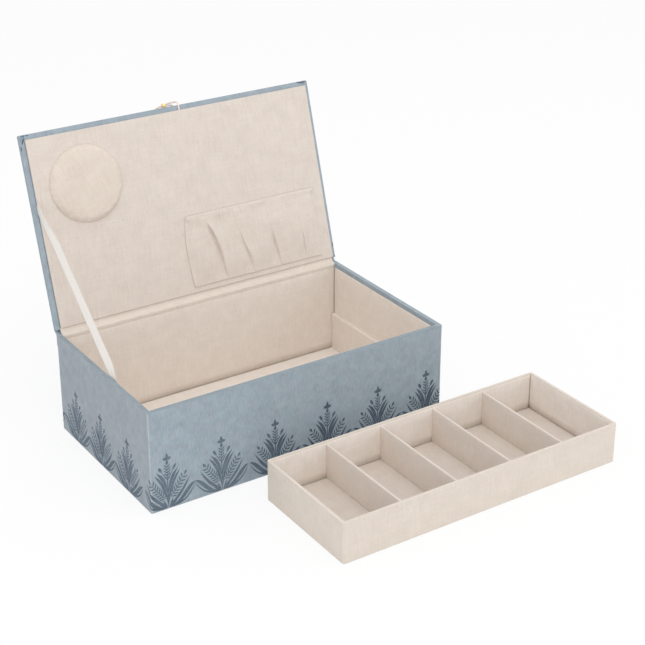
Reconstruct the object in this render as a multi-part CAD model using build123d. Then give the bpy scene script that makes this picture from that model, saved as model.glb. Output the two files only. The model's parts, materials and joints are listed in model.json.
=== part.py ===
from build123d import *
import math
import os

# Sewing box of cloth-covered greyboard, lid open, with its lift-out tray standing in front.
# Millimetres. X runs left to right, the front faces -Y, Z is up from the underside of the box.

# Box body
box_length = 332.0
box_depth = 192.0
box_height = 105.0
wall_board_t = 4.0
base_board_t = 3.0
base_sheet_t = 0.3
cover_t = 0.3
corner_r = 1.2
turn_in = 12.0
lining_t = 1.2
lining_edge_r = 0.4
rim_drop = 4.5
lining_gap = 0.3
ledge_t = 3.5
ledge_top = 46.0
ledge_edge_r = 0.8

# Lid, drawn in its closed place and then swung open about the hinge line
lid_board_t = 3.6
lid_overhang = 2.8
lid_turn_in = 14.0
lid_lining_t = 1.8
margin_left = 5.5
margin_right = 3.5
margin_front = 5.0
margin_hinge = 1.2
closed_gap = 0.5
lid_lean = 16.9

# Cloth hinge: its line lies just behind the wall and above the rim
hinge_behind = 1.2
hinge_above = 2.8
hinge_cloth_t = 0.35
spine_tab = 12.0
spine_start_drop = 0.8
strip_rim_inset = 1.0

# Pincushion, near the lid lining's left and free edges
pad_r = 38.0
pad_left_gap = 16.5
pad_free_gap = 15.3
pad_draw_in = 1.0
pad_side = 3.6
pad_crown = 8.0
pad_shoulder = 2.2
pad_rings = 4
disc_t = 1.5
disc_inset = 2.0
disc_gap = 0.1

# Gathered pocket, at the lid lining's right and hinge edges
pocket_width = 154.0
pocket_height = 74.0
pocket_right_gap = 13.5
pocket_hinge_gap = 5.8
pocket_cloth_t = 0.9
pocket_seam = 1.5
foot_gather = 0.4
hem_width = 6.0
hem_t = 2.4
mouth_gap = 0.4
elastic_width = 4.4
elastic_t = 0.8
elastic_gap = 0.05

# Each fold of the pocket as a share of its width, at the foot and at the hem
fold_foot = [0.237, 0.448, 0.662, 0.873]
fold_hem = [0.149, 0.351, 0.604, 0.883]

# Levels up the pocket as shares of its height, with the room behind the panels and behind the folds
pocket_levels = [(0.0, 0.3, 0.2), (0.24, 3.1, 0.6), (0.7, 3.5, 0.9), (1.0, 1.7, 1.3)]

# Ribbon stay on the left, measured from the hinge edge of the lid and from the back of the box
ribbon_width = 9.5
ribbon_t = 0.5
ribbon_lid_reach = 125.0
ribbon_wall_reach = 119.0
ribbon_gap = 0.35
ribbon_twist = 24.0
ribbon_bow = 2.2

# Places along the ribbon as shares of its length, with the share of its twist and bow there
ribbon_levels = [(-0.05, 0.0), (0.05, 0.0), (0.25, 1.0), (0.8, 0.85), (0.98, 0.0), (1.05, 0.0)]

# Pull loop at the middle of the lid's free edge
cord_d = 1.8
cord_sides = 8
cord_x = 9.5
ferrule_length = 2.8
ferrule_wall = 0.5
ferrule_clear = 0.3

# Lift-out tray, standing in front of the box
tray_clearance = 0.7
tray_depth = 128.0
tray_height = 42.0
tray_shift = 96.0
tray_standoff = 36.0
tray_board_t = 2.2
tray_cloth_t = 0.4
tray_lining_t = 0.9
tray_lining_edge_r = 0.3
tray_corner_r = 2.5
tray_turn_in = 9.0
tray_rim_drop = 0.8
tray_floor_gap = 0.2
divider_count = 4
divider_board_t = 1.8
divider_cloth_t = 0.4
divider_drop = 2.0
divider_gap = 0.1
divider_round = 0.8

# Worked out from the sizes above
half_length = box_length / 2
half_depth = box_depth / 2
wall_t = cover_t + wall_board_t + cover_t
floor_z = base_sheet_t + base_board_t
lining_top = box_height - rim_drop
inside_x = half_length - wall_t - lining_t
inside_y = half_depth - wall_t - lining_t
lid_t = lid_board_t + 2 * cover_t
lid_depth = box_depth + lid_overhang
lid_face_z = box_height + closed_gap + lid_lining_t
hinge_y = half_depth + hinge_behind
hinge_z = box_height + hinge_above
open_angle = 90 + lid_lean
hinge_line = Axis((0, hinge_y, hinge_z), (1, 0, 0))
closed_lid = Plane(origin=(0, half_depth, lid_face_z), x_dir=(1, 0, 0), z_dir=(0, 0, -1))
side_view = Plane(origin=(0, 0, 0), x_dir=(0, 1, 0), z_dir=(1, 0, 0))

pad_x = -half_length + margin_left + pad_left_gap + pad_r
pad_v = lid_depth - margin_front - pad_free_gap - pad_r
pocket_right = half_length - margin_right - pocket_right_gap
pocket_left = pocket_right - pocket_width
pocket_low = margin_hinge + pocket_hinge_gap
pocket_high = pocket_low + pocket_height

# Route of the cord on the lid: across, out past the free edge, and up from the lid's outer face.
# It leaves the lining's edge, passes over the board's edge and comes back in from outside.
cord_route = [
    (cord_x, -margin_front, lid_t + cord_d / 2),
    (cord_x, 3.3, lid_t + cord_d / 2),
    (8.8, 3.7, -1.2),
    (2.4, 3.39, -3.8),
    (-8.4, 1.37, -3.8),
    (-13.8, -0.6, -3.8),
    (-17.5, -3.4, -3.8),
    (-15.6, -7.0, -3.8),
    (-11.8, -4.9, -3.9),
    (-8.4, -0.59, -3.8),
    (2.4, 1.43, -3.8),
    (7.4, 0.6, -3.9),
    (9.6, -4.0, -4.0),
    (9.4, -8.4, -4.0),
    (9.4, -8.4, 0.0),
]
upper_strand = (3, 4)
lower_strand = (10, 9)


def block(x_low, x_high, y_low, y_high, z_low, z_high):
    """A square-edged solid between two corners."""
    size = (x_high - x_low, y_high - y_low, z_high - z_low)
    middle = ((x_low + x_high) / 2, (y_low + y_high) / 2, (z_low + z_high) / 2)
    return Pos(*middle) * Box(*size)


def rounded_block(length, depth, radius, z_low, z_high):
    """A block about the Z axis with rounded upright corners."""
    outline = RectangleRounded(length, depth, radius)
    return Pos(0, 0, z_low) * extrude(outline, amount=z_high - z_low)


def on_lid(solid):
    """Takes a solid drawn flat on the lid's inner face to its place on the open lid."""
    return (closed_lid.location * solid).rotate(hinge_line, -open_angle)


def lid_point(x, v, w):
    """A point on the open lid: across, out from the hinge edge, and up off the inner face."""
    turn = math.radians(open_angle)
    dy = half_depth - v - hinge_y
    dz = lid_face_z - w - hinge_z
    y = hinge_y + dy * math.cos(turn) + dz * math.sin(turn)
    z = hinge_z - dy * math.sin(turn) + dz * math.cos(turn)
    return Vector(x, y, z)


def soften_top(panel, radius):
    """Rounds the upper edges of a cloth-wrapped card."""
    top = panel.faces().sort_by(Axis.Z)[-1]
    return fillet(top.edges(), radius)


def wrapped_shell(length, depth, height, radius, skin_t, low, fold_in, wall):
    """Cloth over four walls and their rim, turned in behind the linings."""
    shell = rounded_block(length, depth, radius, low, height)
    shell -= rounded_block(length - 2 * skin_t, depth - 2 * skin_t, radius - skin_t, 0, height - skin_t)
    x = length / 2 - wall
    y = depth / 2 - wall
    folded = block(-x - skin_t, x + skin_t, -y - skin_t, y + skin_t, height - fold_in, height)
    mouth = block(-x, x, -y, y, 0, 2 * height)
    return shell + folded - mouth


def board_walls(length, depth, radius, board_t, low, high):
    """Four board walls, the front and back ones running the full length."""
    ring = rounded_block(length, depth, radius, low, high)
    x = length / 2 - board_t
    y = depth / 2 - board_t
    ring -= block(-x, x, -y, y, low, high)
    front = ring & block(-length, length, -depth, -y, low, high)
    back = ring & block(-length, length, y, depth, low, high)
    left = ring & block(-length, -x, -y, y, low, high)
    right = ring & block(x, length, -y, y, low, high)
    return [front, back, left, right]


def lining_walls(outer_x, outer_y, card_t, low, high, edge_r):
    """Linen-covered cards: long ones front and back, short ones between them."""
    x = outer_x - card_t
    y = outer_y - card_t
    front = block(-outer_x, outer_x, -outer_y, -y, low, high)
    back = block(-outer_x, outer_x, y, outer_y, low, high)
    left = block(-outer_x, -x, -y, y, low, high)
    right = block(x, outer_x, -y, y, low, high)
    return [soften_top(card, edge_r) for card in (front, back, left, right)]


def wall_boards():
    length = box_length - 2 * cover_t
    depth = box_depth - 2 * cover_t
    heights = (base_sheet_t, box_height - cover_t)
    return board_walls(length, depth, corner_r - cover_t, wall_board_t, *heights)


def base_board():
    x = half_length - cover_t - wall_board_t
    y = half_depth - cover_t - wall_board_t
    return block(-x, x, -y, y, base_sheet_t, floor_z)


def base_sheet():
    return rounded_block(box_length, box_depth, corner_r, 0, base_sheet_t)


def outer_cover():
    sizes = (box_length, box_depth, box_height, corner_r, cover_t, base_sheet_t)
    return wrapped_shell(*sizes, turn_in, wall_t)


def wall_linings():
    outer_x = inside_x + lining_t
    outer_y = inside_y + lining_t
    return lining_walls(outer_x, outer_y, lining_t, floor_z, lining_top, lining_edge_r)


def floor_lining():
    x = inside_x - lining_gap
    y = inside_y - lining_gap
    return block(-x, x, -y, y, floor_z, floor_z + lining_t)


def ledge(side):
    """Linen-covered board that carries one end of the tray."""
    y = inside_y - lining_gap
    board = block(inside_x - ledge_t, inside_x, -y, y, floor_z + lining_t, ledge_top)
    top_edges = board.edges().filter_by(Axis.Y).sort_by(Axis.Z)[-2:]
    board = fillet(top_edges.sort_by(Axis.X)[0], ledge_edge_r)
    return board if side > 0 else mirror(board, about=Plane.YZ)


def lid_board():
    outline = RectangleRounded(box_length - 2 * cover_t, lid_depth - 2 * cover_t, corner_r - cover_t)
    return on_lid(Pos(0, lid_depth / 2, -lid_t + cover_t) * extrude(outline, amount=lid_board_t))


def lid_cover():
    """Cloth round the lid board, turned in over its inner face."""
    outline = RectangleRounded(box_length, lid_depth, corner_r)
    skin = Pos(0, lid_depth / 2, -lid_t) * extrude(outline, amount=lid_t)
    core = RectangleRounded(box_length - 2 * cover_t, lid_depth - 2 * cover_t, corner_r - cover_t)
    skin -= Pos(0, lid_depth / 2, -lid_t + cover_t) * extrude(core, amount=lid_board_t)
    x = half_length - lid_turn_in
    skin -= block(-x, x, lid_turn_in, lid_depth - lid_turn_in, -2 * cover_t, cover_t)
    return on_lid(skin)


def lid_lining():
    x_low = -half_length + margin_left
    x_high = half_length - margin_right
    panel = block(x_low, x_high, margin_hinge, lid_depth - margin_front, 0, lid_lining_t)
    return on_lid(soften_top(panel, lining_edge_r))


def outer_hinge_cloth():
    """Spine cloth, pasted to the back wall and the lid's outer face and bending between them."""
    edge = lid_point(0, 0, -lid_t)
    tab = lid_point(0, spine_tab, -lid_t)
    path = Polyline(
        (half_depth, box_height - spine_tab),
        (half_depth, box_height - spine_start_drop),
        (edge.Y, edge.Z),
        (tab.Y, tab.Z),
    )
    band = make_face(offset(path, amount=hinge_cloth_t, side=Side.RIGHT))
    return extrude(side_view * band, amount=half_length, both=True)


def inner_hinge_strip():
    """Linen strip from the lid lining's lower edge, over the back wall's rim, to the back lining."""
    high = lid_point(0, margin_hinge, 0)
    edge = lid_point(0, 0, 0)
    mouth_y = half_depth - wall_t
    path = Polyline(
        (high.Y, high.Z),
        (edge.Y, edge.Z),
        (half_depth - strip_rim_inset, box_height),
        (mouth_y, box_height),
        (mouth_y, lining_top),
    )
    band = make_face(offset(path, amount=hinge_cloth_t, side=Side.RIGHT))
    return extrude(side_view * band, amount=half_length - wall_t, both=True)


def pincushion_disc():
    """Card disc that the pad is drawn over."""
    disc = Cylinder(pad_r - disc_inset, disc_t, align=(Align.CENTER, Align.CENTER, Align.MIN))
    return on_lid(Pos(pad_x, pad_v, lid_lining_t) * disc)


def pincushion_pad():
    """Stuffed pad: a low elliptic crown, in rings, with sides drawn in at the foot."""
    foot_r = pad_r - pad_draw_in
    recess_r = pad_r - disc_inset + disc_gap
    shoulder_r = pad_r - pad_shoulder
    rise = pad_crown - pad_side
    profile = [(0, disc_t), (recess_r, disc_t), (recess_r, 0), (foot_r, 0), (pad_r, pad_side / 2)]
    for ring in range(pad_rings + 1):
        angle = math.pi / 2 * ring / pad_rings
        profile.append((shoulder_r * math.cos(angle), pad_side + rise * math.sin(angle)))
    pad = revolve(Plane.XZ * make_face(Polyline(*profile, close=True)), Axis.Z)
    return on_lid(Pos(pad_x, pad_v, lid_lining_t) * pad)


def pocket_section(share, panel_room, fold_room):
    """Cross-section of the pocket cloth at one level: five swelling panels between its folds."""
    v = pocket_low + share * (pocket_height - hem_width / 2)
    shares = [foot + (hem - foot) * share for foot, hem in zip(fold_foot, fold_hem)]
    folds = [pocket_left + pocket_width * across for across in shares]
    inner = [(pocket_left + pocket_seam, 0)] + [(x, fold_room) for x in folds]
    inner += [(pocket_right - pocket_seam, 0)]
    outer = [(pocket_left, 0)] + [(x, fold_room + pocket_cloth_t) for x in folds] + [(pocket_right, 0)]
    edges = []
    for start, end in zip(outer, outer[1:]):
        edges.append(ThreePointArc(start, ((start[0] + end[0]) / 2, panel_room + pocket_cloth_t), end))
    edges.append(Line(outer[-1], inner[-1]))
    inner.reverse()
    for start, end in zip(inner, inner[1:]):
        edges.append(ThreePointArc(start, ((start[0] + end[0]) / 2, panel_room), end))
    edges.append(Line(inner[-1], outer[0]))
    level = Plane(origin=(0, v, 0), x_dir=(1, 0, 0), z_dir=(0, -1, 0))
    return level * make_face(Wire(edges))


def elastic_strip(gap):
    """The elastic's place in the hem, grown all round by a gap."""
    v = pocket_high - hem_width / 2
    w = mouth_gap + hem_t / 2
    half_v = elastic_width / 2 + gap
    half_w = elastic_t / 2 + gap
    x_low = pocket_left + pocket_seam - gap
    x_high = pocket_right - pocket_seam + gap
    return block(x_low, x_high, v - half_v, v + half_v, w - half_w, w + half_w)


def hem_band():
    """The hem: a casing for the elastic, sewn down at both ends."""
    low = pocket_high - hem_width
    band = block(pocket_left, pocket_right, low, pocket_high, mouth_gap, hem_t + mouth_gap)
    for x in (pocket_left, pocket_right - pocket_seam):
        band += block(x, x + pocket_seam, low, pocket_high, 0, hem_t)
    return band - elastic_strip(elastic_gap)


def pocket():
    """Gathered cloth between its sewn foot and its hem."""
    cloth = loft([pocket_section(*level) for level in pocket_levels], ruled=True)
    deepest = pocket_cloth_t + sum(panel_room for share, panel_room, fold_room in pocket_levels)
    low = pocket_high - hem_width
    cloth -= block(pocket_left, pocket_right, low, pocket_high, 0, deepest)
    foot_high = pocket_cloth_t + foot_gather
    foot = block(pocket_left, pocket_right, pocket_low, pocket_low + pocket_seam, 0, foot_high)
    return on_lid(Pos(0, 0, lid_lining_t) * (cloth + foot + hem_band()))


def pocket_elastic():
    return on_lid(Pos(0, 0, lid_lining_t) * elastic_strip(0))


def ribbon_stay():
    """Taut ribbon from beside the lid lining to the top of the left lining, turned a little."""
    lid_x = -half_length + margin_left - ribbon_gap - ribbon_t / 2
    lid_end = lid_point(lid_x, ribbon_lid_reach, ribbon_gap)
    wall_x = -half_length + wall_t + ribbon_t / 2 + ribbon_gap / 2
    wall_end = Vector(wall_x, half_depth - ribbon_wall_reach, lining_top)
    along = (wall_end - lid_end).normalized()
    across = Vector(1, 0, 0).cross(along).normalized()
    sections = []
    for share, turned in ribbon_levels:
        middle = lid_end + (wall_end - lid_end) * share + Vector(ribbon_bow * turned, 0, 0)
        angle = math.radians(ribbon_twist * turned)
        wide = across * math.cos(angle) - Vector(math.sin(angle), 0, 0)
        sections.append(Plane(origin=middle, x_dir=wide, z_dir=along) * Rectangle(ribbon_width, ribbon_t))
    band = loft(sections, ruled=True)
    over_wall = block(-box_length, 0, -box_depth, box_depth, lining_top, lining_top + 2 * lid_depth)
    off_lid = on_lid(block(-box_length, 0, -lid_depth, 2 * lid_depth, ribbon_gap, 2 * lid_depth))
    return band & over_wall & off_lid


def turn_radii(points):
    """For each corner, 0.45 of the shorter run over the tangent of half the turn."""
    radii = []
    for before, here, after in zip(points, points[1:], points[2:]):
        half_turn = math.radians((here - before).get_angle(after - here)) / 2
        shorter = min((here - before).length, (after - here).length)
        radii.append(0.45 * shorter / math.tan(half_turn))
    return radii


def cord_points():
    return [Vector(x, lid_depth + out, w - lid_t) for x, out, w in cord_route]


def pull_cord():
    """The loop of cord: out from the lining, over the edge, round in a bight and into the lid."""
    points = cord_points()
    radii = turn_radii(points)
    path = FilletPolyline(*points, radius=radii)
    start = Plane(origin=points[0], z_dir=points[1] - points[0])
    outline = RegularPolygon(cord_d / 2, cord_sides)
    tube = sweep(start * outline, path=path)
    plain = outline.area * path.length
    print("cord length", round(path.length, 1), "volume over plain one", round(tube.volume / plain, 4))
    print("cord radii", [round(radius, 1) for radius in radii])
    return on_lid(tube)


def pull_ferrule():
    """Flattened ring round both strands of the loop."""
    points = cord_points()
    upper = [points[number] for number in upper_strand]
    lower = [points[number] for number in lower_strand]
    along = (upper[1] - upper[0]).normalized()
    apart = (lower[0] - upper[0]) - along * (lower[0] - upper[0]).dot(along)
    middle = (upper[0] + upper[1] + lower[0] + lower[1]) / 4
    bore_depth = cord_d + 2 * ferrule_clear
    bore_height = apart.length + bore_depth
    ring = SlotOverall(bore_height + 2 * ferrule_wall, bore_depth + 2 * ferrule_wall)
    ring -= SlotOverall(bore_height, bore_depth)
    across = Plane(origin=middle, x_dir=apart, z_dir=along)
    return on_lid(extrude(across * ring, amount=ferrule_length / 2, both=True))


tray_length = 2 * (inside_x - tray_clearance)
tray_y = -half_depth - tray_standoff - tray_depth / 2
tray_wall = tray_cloth_t + tray_board_t + tray_cloth_t
tray_floor_z = tray_cloth_t + tray_board_t
tray_inside_x = tray_length / 2 - tray_wall - tray_lining_t
tray_inside_y = tray_depth / 2 - tray_wall - tray_lining_t
tray_lining_top = tray_height - tray_rim_drop
divider_t = divider_board_t + 2 * divider_cloth_t
compartment = (2 * tray_inside_x - divider_count * divider_t) / (divider_count + 1)


def on_tray(solid):
    return Pos(tray_shift, tray_y, 0) * solid


def tray_boards():
    """The tray's greyboard base and four walls."""
    length = tray_length - 2 * tray_cloth_t
    depth = tray_depth - 2 * tray_cloth_t
    high = tray_height - tray_cloth_t
    walls = board_walls(length, depth, tray_corner_r - tray_cloth_t, tray_board_t, tray_cloth_t, high)
    x = length / 2 - tray_board_t
    y = depth / 2 - tray_board_t
    base = block(-x, x, -y, y, tray_cloth_t, tray_floor_z)
    return [on_tray(board) for board in [base] + walls]


def tray_base_sheet():
    return on_tray(rounded_block(tray_length, tray_depth, tray_corner_r, 0, tray_cloth_t))


def tray_cover():
    sizes = (tray_length, tray_depth, tray_height, tray_corner_r, tray_cloth_t, tray_cloth_t)
    return on_tray(wrapped_shell(*sizes, tray_turn_in, tray_wall))


def tray_linings():
    """The tray's lining cards: floor, front, back, left and right."""
    outer_x = tray_inside_x + tray_lining_t
    outer_y = tray_inside_y + tray_lining_t
    heights = (tray_floor_z, tray_lining_top)
    walls = lining_walls(outer_x, outer_y, tray_lining_t, *heights, tray_lining_edge_r)
    x = tray_inside_x - tray_floor_gap
    y = tray_inside_y - tray_floor_gap
    floor = block(-x, x, -y, y, tray_floor_z, tray_floor_z + tray_lining_t)
    return [on_tray(card) for card in [floor] + walls]


def divider_profile(inset):
    """End view of a divider with a rounded top, drawn in by an inset on three sides."""
    half = divider_t / 2 - inset
    low = tray_floor_z + tray_lining_t
    top = tray_height - divider_drop - inset
    round_r = half * divider_round
    outline = Polyline((-half, top - round_r), (-half, low), (half, low), (half, top - round_r))
    outline += RadiusArc((half, top - round_r), (half - round_r, top), -round_r)
    outline += Line((half - round_r, top), (round_r - half, top))
    outline += RadiusArc((round_r - half, top), (-half, top - round_r), -round_r)
    return Plane.XZ * make_face(outline)


def dividers():
    """The divider boards as one group, and each board's linen wrap."""
    half_run = tray_inside_y - divider_gap
    board = extrude(divider_profile(divider_cloth_t), amount=half_run, both=True)
    wrap = extrude(divider_profile(0), amount=half_run, both=True) - board
    boards = []
    wraps = []
    for number in range(divider_count):
        x = -tray_inside_x + (number + 1) * compartment + (number + 0.5) * divider_t
        boards.append(on_tray(Pos(x, 0, 0) * board))
        wraps.append(on_tray(Pos(x, 0, 0) * wrap))
    return Compound(children=boards), wraps


def build():
    """Every node of the sewing box by name."""
    nodes = {"base_board": base_board(), "base_sheet": base_sheet(), "outer_cover": outer_cover()}
    sides = ("front", "back", "left", "right")
    for side, board, lining in zip(sides, wall_boards(), wall_linings()):
        nodes[side + "_wall_board"] = board
        nodes[side + "_lining"] = lining
    nodes["floor_lining"] = floor_lining()
    nodes["left_ledge"] = ledge(-1)
    nodes["right_ledge"] = ledge(1)
    nodes["outer_hinge_cloth"] = outer_hinge_cloth()
    nodes["inner_hinge_strip"] = inner_hinge_strip()
    nodes["ribbon_stay"] = ribbon_stay()
    nodes["lid_board"] = lid_board()
    nodes["lid_cover"] = lid_cover()
    nodes["lid_lining"] = lid_lining()
    nodes["pincushion_disc"] = pincushion_disc()
    nodes["pincushion_pad"] = pincushion_pad()
    nodes["pocket"] = pocket()
    nodes["pocket_elastic"] = pocket_elastic()
    nodes["pull_cord"] = pull_cord()
    nodes["pull_ferrule"] = pull_ferrule()
    nodes["tray_base_sheet"] = tray_base_sheet()
    nodes["tray_cover"] = tray_cover()
    for side, board in zip(("base",) + sides, tray_boards()):
        nodes["tray_" + side + "_board"] = board
    for side, lining in zip(("floor",) + sides, tray_linings()):
        nodes["tray_" + side + "_lining"] = lining
    boards, wraps = dividers()
    nodes["divider_boards"] = boards
    for number, wrap in enumerate(wraps, start=1):
        nodes["divider_wrap_" + str(number)] = wrap
    return nodes


os.makedirs("parts", exist_ok=True)
for name, shape in build().items():
    export_step(shape, "parts/" + name + ".step")
    print(name, round(shape.volume, 1))
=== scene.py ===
# %% [markdown]
# # A cloth-covered sewing box
# The real box is made as a bookbinder makes one: greyboard walls covered in a printed
# blue-grey cloth, lined with natural linen, with a lid on a cloth hinge and a tray that
# lifts out. The CAD frame already holds every board and card at its true size, so this
# lesson dresses it: finishes for what is there, and new meshes for what is soft.

# %% Load the frame
import json
import math
import random

import bmesh
import bpy
from mathutils import Matrix, Vector, noise


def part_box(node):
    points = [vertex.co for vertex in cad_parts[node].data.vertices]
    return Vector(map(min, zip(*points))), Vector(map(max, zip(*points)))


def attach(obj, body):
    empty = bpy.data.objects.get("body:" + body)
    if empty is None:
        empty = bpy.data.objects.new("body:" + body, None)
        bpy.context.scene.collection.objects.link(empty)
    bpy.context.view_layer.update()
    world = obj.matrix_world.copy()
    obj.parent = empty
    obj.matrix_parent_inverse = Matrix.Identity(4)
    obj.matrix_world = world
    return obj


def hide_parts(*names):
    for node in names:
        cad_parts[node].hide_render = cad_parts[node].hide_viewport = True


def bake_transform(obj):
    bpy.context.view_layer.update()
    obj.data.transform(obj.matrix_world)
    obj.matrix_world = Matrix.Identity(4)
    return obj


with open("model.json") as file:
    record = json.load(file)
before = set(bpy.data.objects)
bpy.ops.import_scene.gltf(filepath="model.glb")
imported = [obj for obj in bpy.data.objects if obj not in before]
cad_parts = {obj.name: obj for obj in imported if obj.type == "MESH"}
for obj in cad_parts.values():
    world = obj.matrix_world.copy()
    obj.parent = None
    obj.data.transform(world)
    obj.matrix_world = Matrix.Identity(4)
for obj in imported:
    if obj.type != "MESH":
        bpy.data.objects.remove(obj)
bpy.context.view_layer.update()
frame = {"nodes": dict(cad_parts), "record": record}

# %% [markdown]
# ## The camera
# The photograph was taken with a long lens from the left of the front, a little above. Its
# place was found by fitting the box's straight edges, and the frame is square. A small
# shift stands for the view camera's movement that keeps the uprights upright.

# %% Camera
MM = 0.001
FRAME_PIXELS = 645
FOCAL_PIXELS = 1579.2
SHIFT_PIXELS = -60
SENSOR_MM = 36.0
CAMERA_PLACE = Vector((-716.10, -1218.27, 799.58)) * MM
CAMERA_YAW = 0.5820
CAMERA_PITCH = 0.4147

camera_data = bpy.data.cameras.new("camera")
camera_data.sensor_width = SENSOR_MM
camera_data.lens = FOCAL_PIXELS * SENSOR_MM / FRAME_PIXELS
camera_data.shift_y = SHIFT_PIXELS / FRAME_PIXELS
camera = bpy.data.objects.new("camera", camera_data)
camera.location = CAMERA_PLACE
camera.rotation_euler = (math.pi / 2 - CAMERA_PITCH, 0, -CAMERA_YAW)
bpy.context.scene.collection.objects.link(camera)
bpy.context.scene.camera = camera
bpy.context.scene.view_settings.view_transform = "Standard"
print("lens", round(camera_data.lens, 2), "mm")

# %% [markdown]
# ## Places on the open lid
# The lid leans back from upright, so its pieces are easiest to draw flat: across, out from
# the hinge edge, and up off the inner face. One small function takes such a point, in
# millimetres, to its place on the open lid.

# %% Lid places
LID_TURN = math.radians(106.9)
HINGE_Y, HINGE_Z = 97.2, 107.8
CLOSED_BACK_Y, CLOSED_FACE_Z = 96.0, 107.3
LID_DEPTH = 194.8
LID_THICK = 4.2
LINING_THICK = 1.8


def lid_point(across, out, up):
    """A point of the lid in millimetres, drawn flat, to its place in metres."""
    dy = CLOSED_BACK_Y - out - HINGE_Y
    dz = CLOSED_FACE_Z - up - HINGE_Z
    y = HINGE_Y + dy * math.cos(LID_TURN) + dz * math.sin(LID_TURN)
    z = HINGE_Z - dy * math.sin(LID_TURN) + dz * math.cos(LID_TURN)
    return Vector((across, y, z)) * MM


print("free edge of the lid", [round(x, 4) for x in lid_point(0, LID_DEPTH, 0)])

# %% [markdown]
# ## The pull loop
# A short limp cord at the middle of the lid's free edge. It comes out from under the
# lining, lies over the edge, makes a bight to the left through a little gold ferrule, and
# goes back into the lid. A NURBS line through the part's own route points, given a round
# bevel, is the plainest way to draw it: the line is smooth and its length is real. Blender
# counts each point's radius into a curve's bounding box, so the points carry the cord's
# true radius and the bevel only multiplies it by one.

# %% Cord
CORD_THICK = 1.8
CORD_ROUTE = [
    (9.5, -5.0, 5.1), (9.5, 3.3, 5.1), (8.8, 3.7, -1.2), (2.4, 3.39, -3.8),
    (-8.4, 1.37, -3.8), (-13.8, -0.6, -3.8), (-17.5, -3.4, -3.8), (-15.6, -7.0, -3.8),
    (-11.8, -4.9, -3.9), (-8.4, -0.59, -3.8), (2.4, 1.43, -3.8), (7.4, 0.6, -3.9),
    (9.6, -4.0, -4.0), (9.4, -8.4, -4.0), (9.4, -8.4, 0.0),
]
cord_points = [lid_point(x, LID_DEPTH + out, up - LID_THICK) for x, out, up in CORD_ROUTE]

cord_curve = bpy.data.curves.new("pull_loop", "CURVE")
cord_curve.dimensions = "3D"
cord_curve.resolution_u = 10
spline = cord_curve.splines.new("NURBS")
spline.points.add(len(cord_points) - 1)
for control, place in zip(spline.points, cord_points):
    control.co = (*place, 1.0)
    control.radius = CORD_THICK / 2 * MM
spline.order_u = 3
spline.use_endpoint_u = True
pull_loop = bpy.data.objects.new("pull_loop", cord_curve)
bpy.context.scene.collection.objects.link(pull_loop)
bpy.context.view_layer.update()
cord_line = bpy.data.meshes.new_from_object(pull_loop)
line_points = [vertex.co.copy() for vertex in cord_line.vertices]
cord_length = sum((b - a).length for a, b in zip(line_points, line_points[1:]))
bpy.data.meshes.remove(cord_line)
print("cord length", round(cord_length, 4), "m")

cord_curve.bevel_depth = 1.0
cord_curve.bevel_resolution = 5
cord_curve.use_fill_caps = True
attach(pull_loop, "lid")
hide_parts("pull_cord")
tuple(cord_points[0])

# %% [markdown]
# ## Shader sums
# A finish is a tree of nodes. Written node by node it is long and hard to read, so this
# small class wraps a socket: adding or multiplying wires adds Math nodes, and every other
# node comes from one method, which sets the node up first and then fills its sockets.


# %% Wires
class Wire:
    """One socket of a shader tree, with which sums can be written as sums."""

    def __init__(self, tree, socket=None):
        self.tree = tree
        self.socket = socket

    def node(self, kind, settings=None, inputs=None, output=0):
        """Adds a node: its type, its settings, and what goes into its sockets."""
        made = self.tree.nodes.new("ShaderNode" + kind)
        for name, value in (settings or {}).items():
            setattr(made, name, value)
        for name, value in (inputs or {}).items():
            if isinstance(value, Wire):
                self.tree.links.new(value.socket, made.inputs[name])
            else:
                made.inputs[name].default_value = value
        return Wire(self.tree, made.outputs[output])

    def math(self, operation, *values):
        return self.node("Math", {"operation": operation}, dict(enumerate(values)))

    def __add__(self, other):
        return self.math("ADD", self, other)

    def __sub__(self, other):
        return self.math("SUBTRACT", self, other)

    def __rsub__(self, other):
        return self.math("SUBTRACT", other, self)

    def __mul__(self, other):
        return self.math("MULTIPLY", self, other)

    def __gt__(self, other):
        return self.math("GREATER_THAN", self, other)

    __radd__ = __add__
    __rmul__ = __mul__

    def sine(self):
        return self.math("SINE", self)

    def size(self):
        return self.math("ABSOLUTE", self)

    def between(self, low, high):
        """0 below low, 1 above high, and a smooth rise from one to the other."""
        settings = {"interpolation_type": "SMOOTHSTEP"}
        return self.node("MapRange", settings, {"Value": self, "From Min": low, "From Max": high})

    def parts(self):
        """The three parts of a vector."""
        made = self.node("SeparateXYZ", inputs={"Vector": self}).socket.node
        return [Wire(self.tree, output) for output in made.outputs]

    def vector(self, x, y, z):
        return self.node("CombineXYZ", inputs={"X": x, "Y": y, "Z": z})

    def blend_colour(self, first, second):
        """first where this wire is 0, second where it is 1."""
        inputs = {0: self, 6: opaque(first), 7: opaque(second)}
        return self.node("Mix", {"data_type": "RGBA"}, inputs, output=2)

    def blend_value(self, first, second):
        return self.node("Mix", {"data_type": "FLOAT"}, {0: self, 2: first, 3: second})


def opaque(colour):
    """A colour written as three numbers gets its fourth."""
    return colour if isinstance(colour, Wire) else (*colour, 1.0)


def srgb(red, green, blue):
    """A colour as picked from a picture, 0 to 255, as the shader's linear numbers."""
    shares = [value / 255 for value in (red, green, blue)]
    return tuple(s / 12.92 if s <= 0.04045 else ((s + 0.055) / 1.055) ** 2.4 for s in shares)


def start_finish(name):
    """A new material with only its shader and output, and a wire for its sums."""
    material = bpy.data.materials.new(name)
    material.use_nodes = True
    return material, Wire(material.node_tree)


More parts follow.
